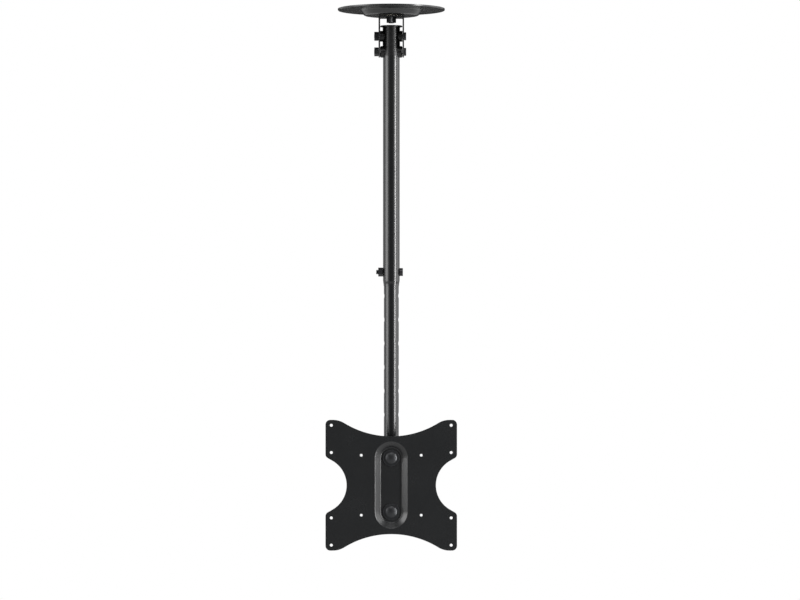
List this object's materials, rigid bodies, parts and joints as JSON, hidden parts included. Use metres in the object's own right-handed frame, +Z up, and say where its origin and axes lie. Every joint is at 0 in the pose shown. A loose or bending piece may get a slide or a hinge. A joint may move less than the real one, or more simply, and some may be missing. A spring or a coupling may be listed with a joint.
{
  "type": "tv ceiling mount",
  "caption": "Telescopic ceiling mount for a flat screen: round ceiling plate, swivelling U bracket, telescoping pole, tilting waisted screen plate.",
  "frame": {"origin": "centre of the ceiling plate, in the plane of its face against the ceiling", "axes": "+Z up out of the ceiling face, the pole hangs along -Z; +X along the cross bolts, towards their heads; the screen plate faces -Y"},
  "size_m": [0.2194, 0.18, 0.908],
  "materials": {
    "powder_coated_steel": "fine semi-gloss black powder coat",
    "powder_coated_tube": "smooth semi-gloss black powder coat",
    "gloss_black_casting": "gloss black enamel on a casting",
    "black_fastener": "black zinc plating",
    "zinc_plated_steel": "bright zinc plating",
    "black_nylon": "moulded, fine satin",
    "natural_nylon": "moulded, satin"
  },
  "bodies": {
    "ceiling": {"ceiling_plate": "powder_coated_steel", "swivel_bolt": "zinc_plated_steel", "swivel_head_washer": "zinc_plated_steel", "friction_washer": "natural_nylon", "swivel_nut": "black_fastener"},
    "hanger": {"hanger_bracket": "powder_coated_steel"},
    "pole": {"pole_head": "gloss_black_casting", "lean_pivot_bolt": "black_fastener", "lean_pivot_nut": "black_fastener", "lean_lock_bolt": "black_fastener", "lean_lock_nut": "black_fastener", "outer_tube": "powder_coated_tube", "height_bolt": "black_fastener", "height_nut": "black_fastener"},
    "drop_tube": {"inner_tube": "powder_coated_tube", "slide_bush": "natural_nylon", "tube_end_plug": "black_nylon", "saddle_spacers": "black_nylon", "tilt_pivot_bolt": "black_fastener", "tilt_pivot_nut": "black_fastener", "tilt_lock_bolt": "black_fastener", "tilt_lock_nut": "black_fastener"},
    "plate": {"tilt_bracket": "powder_coated_steel", "screen_plate": "powder_coated_steel", "plate_bolts": "black_fastener", "dome_washers": "black_fastener", "back_washers": "black_fastener", "plate_nuts": "black_fastener"}
  },
  "joints": [
    {"name": "swivel", "type": "hinge", "parent": "ceiling", "child": "hanger", "pos_m": [0, 0, -0.0127], "axis": [0, 0, 1], "continuous": true},
    {"name": "pole_lean", "type": "hinge", "parent": "hanger", "child": "pole", "pos_m": [0, 0, -0.0463], "axis": [1, 0, 0], "range_deg": [-15, 15]},
    {"name": "height_slide", "type": "slide", "parent": "pole", "child": "drop_tube", "axis": [0, 0, 1], "range_m": [0, 0.24]},
    {"name": "plate_tilt", "type": "hinge", "parent": "drop_tube", "child": "plate", "pos_m": [0, 0, -0.799], "axis": [1, 0, 0], "range_deg": [-5, 15]}
  ]
}
